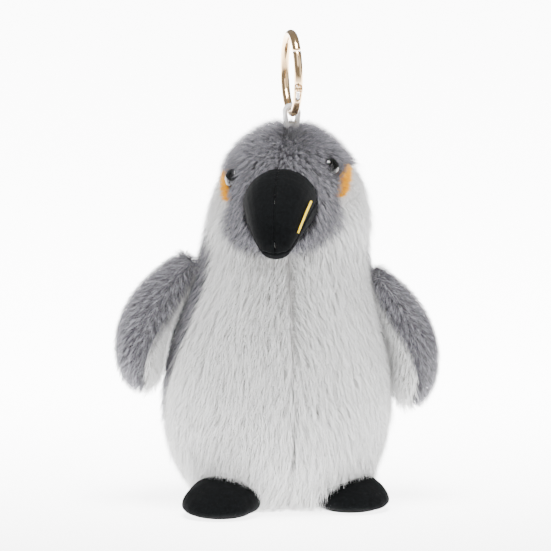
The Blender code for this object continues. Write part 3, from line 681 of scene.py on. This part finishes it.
# %% Hard parts
GOLD = patterned("pale_gold_plate", (0.70, 0.47, 0.25), (0.78, 0.55, 0.31), 300, 0.13, metallic=1.0)
DOME = patterned(
    "clear_dome", (0.95, 0.95, 0.95), (1.0, 1.0, 1.0), 200, 0.03, transmission_weight=1.0, ior=1.3
)
DISC = patterned(
    "black_eye_disc", (0.0006, 0.0006, 0.0006), (0.0016, 0.0014, 0.0014), 500, 0.25, specular_ior_level=0.1
)
NYLON = patterned("nylon", (0.70, 0.70, 0.68), (0.78, 0.78, 0.76), 900, 0.5)
STEEL = patterned("spring_steel", (0.48, 0.48, 0.50), (0.60, 0.60, 0.62), 2000, 0.3, metallic=1.0)
RIBBON = patterned(
    "satin_ribbon", (0.36, 0.355, 0.35), (0.50, 0.49, 0.48), 2500, 0.45, 0.05 * MM, sheen_weight=0.3
)
THREAD = patterned("yellow_thread", (0.40, 0.26, 0.0), (0.72, 0.51, 0.001), 2600, 0.7, 0.1 * MM)


def hard_copy(name, node, finish, angle=40, shift=NOTHING):
    """A welded copy of a hard frame node, smooth except at its real edges, which stands for it."""
    bm = merged(node)
    bmesh.ops.translate(bm, vec=shift, verts=bm.verts)
    mesh = bpy.data.meshes.new(name)
    bm.to_mesh(mesh)
    bm.free()
    mesh.materials.append(finish)
    mesh.shade_smooth()
    mesh.set_sharp_from_angle(angle=math.radians(angle))
    obj = bpy.data.objects.new(name, mesh)
    bpy.context.scene.collection.objects.link(obj)
    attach(obj, NODES[node]["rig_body"])
    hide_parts(node)
    return obj


HARD = [
    hard_copy("ring_wire", "ring_body", GOLD),
    hard_copy("ring_gate_wire", "ring_gate", GOLD),
    hard_copy("ring_pin", "gate_pin", GOLD),
    hard_copy("ring_leaf_spring", "gate_spring", STEEL),
    hard_copy("crown_ribbon", "hang_loop", RIBBON),
]
for side in ("left", "right"):
    dome_low, dome_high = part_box("eye_dome_" + side)
    lock_low, lock_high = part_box("eye_washer_" + side)
    inwards = (lock_low + lock_high - dome_low - dome_high).normalized() * 0.25 * MM
    black = hard_copy("eye_black_" + side, "eye_disc_" + side, DISC)
    pupil = merged("eye_dome_" + side)
    base = max(pupil.faces, key=lambda face: face.calc_area()).calc_center_median()
    bmesh.ops.scale(pupil, vec=(0.975, 0.975, 0.975), space=Matrix.Translation(-base), verts=pupil.verts)
    bmesh.ops.translate(pupil, vec=inwards, verts=pupil.verts)
    pupil.from_mesh(black.data)
    pupil.to_mesh(black.data)
    pupil.free()
    HARD += [
        black,
        hard_copy("eye_clear_" + side, "eye_dome_" + side, DOME, shift=inwards),
        hard_copy("eye_lock_" + side, "eye_washer_" + side, NYLON),
        hard_copy("mouth_thread_" + side, "mouth_stitch_" + side, THREAD),
    ]
print(len(HARD), "hard parts")

# %% [markdown]
# ## Floor, light and camera
#
# A pale floor and a bright surround stand for a light tent, with large soft lights so that shadows stay
# faint. The floor glows more behind the toy than in front of it, as paper lit from behind does, so the
# fur has a bright edge and the feet stay dark. The camera looks straight on from a little above, from
# far enough away to keep the toy's shape.

# %% Studio
def soft_light(name, place, aim, size, power):
    data = bpy.data.lights.new(name, "AREA")
    data.shape = "SQUARE"
    data.size = size
    data.energy = power
    lamp = bpy.data.objects.new(name, data)
    lamp.location = place
    lamp.rotation_euler = (Vector(aim) - Vector(place)).to_track_quat("-Z", "Y").to_euler()
    bpy.context.scene.collection.objects.link(lamp)


bm = bmesh.new()
bmesh.ops.create_grid(bm, x_segments=8, y_segments=8, size=3)
floor_mesh = bpy.data.meshes.new("floor")
bm.to_mesh(floor_mesh)
bm.free()
floor = bpy.data.objects.new("floor", floor_mesh)
paper = patterned("floor_paper", (0.88, 0.88, 0.88), (0.90, 0.90, 0.90), 2, 0.9)
glow = paper.node_tree.nodes.new("ShaderNodeMapRange")
split = paper.node_tree.nodes.new("ShaderNodeSeparateXYZ")
shader = paper.node_tree.nodes["Principled BSDF"]
for socket, value in (("From Min", -0.3), ("From Max", 0.3), ("To Min", 0.8), ("To Max", 10.0)):
    glow.inputs[socket].default_value = value
glow.interpolation_type = "SMOOTHSTEP"
paper.node_tree.links.new(paper.node_tree.nodes["Texture Coordinate"].outputs["Object"], split.inputs[0])
paper.node_tree.links.new(split.outputs["Y"], glow.inputs["Value"])
paper.node_tree.links.new(glow.outputs[0], shader.inputs["Emission Strength"])
shader.inputs["Emission Color"].default_value = (1, 1, 1, 1)
floor.data.materials.append(paper)
bpy.context.scene.collection.objects.link(floor)

world = bpy.data.worlds.new("studio")
world.use_nodes = True
world.node_tree.nodes["Background"].inputs["Color"].default_value = (1, 1, 1, 1)
world.node_tree.nodes["Background"].inputs["Strength"].default_value = 0.4
bpy.context.scene.world = world

soft_light("key", (-0.1, -0.9, 1.0), (0, 0, 0.07), 0.8, 5)
soft_light("fill", (0.8, -0.5, 0.5), (0, 0, 0.07), 0.8, 3)
soft_light("top", (0.0, -0.2, 1.1), (0, 0, 0.07), 0.6, 48)

TARGET = Vector((-0.2, 3.65, 79.6)) * MM
ELEVATION = math.radians(9)
DISTANCE = 4.0
camera_data = bpy.data.cameras.new("camera")
camera_data.sensor_width = 36
camera_data.lens = 36 * DISTANCE / (551 * 0.35 * MM)
camera = bpy.data.objects.new("camera", camera_data)
away = Vector((0, -math.cos(ELEVATION), math.sin(ELEVATION)))
camera.location = TARGET + away * DISTANCE
camera.rotation_euler = (-away).to_track_quat("-Z", "Y").to_euler()
bpy.context.scene.collection.objects.link(camera)
bpy.context.scene.camera = camera
print("lens", round(camera_data.lens, 1))
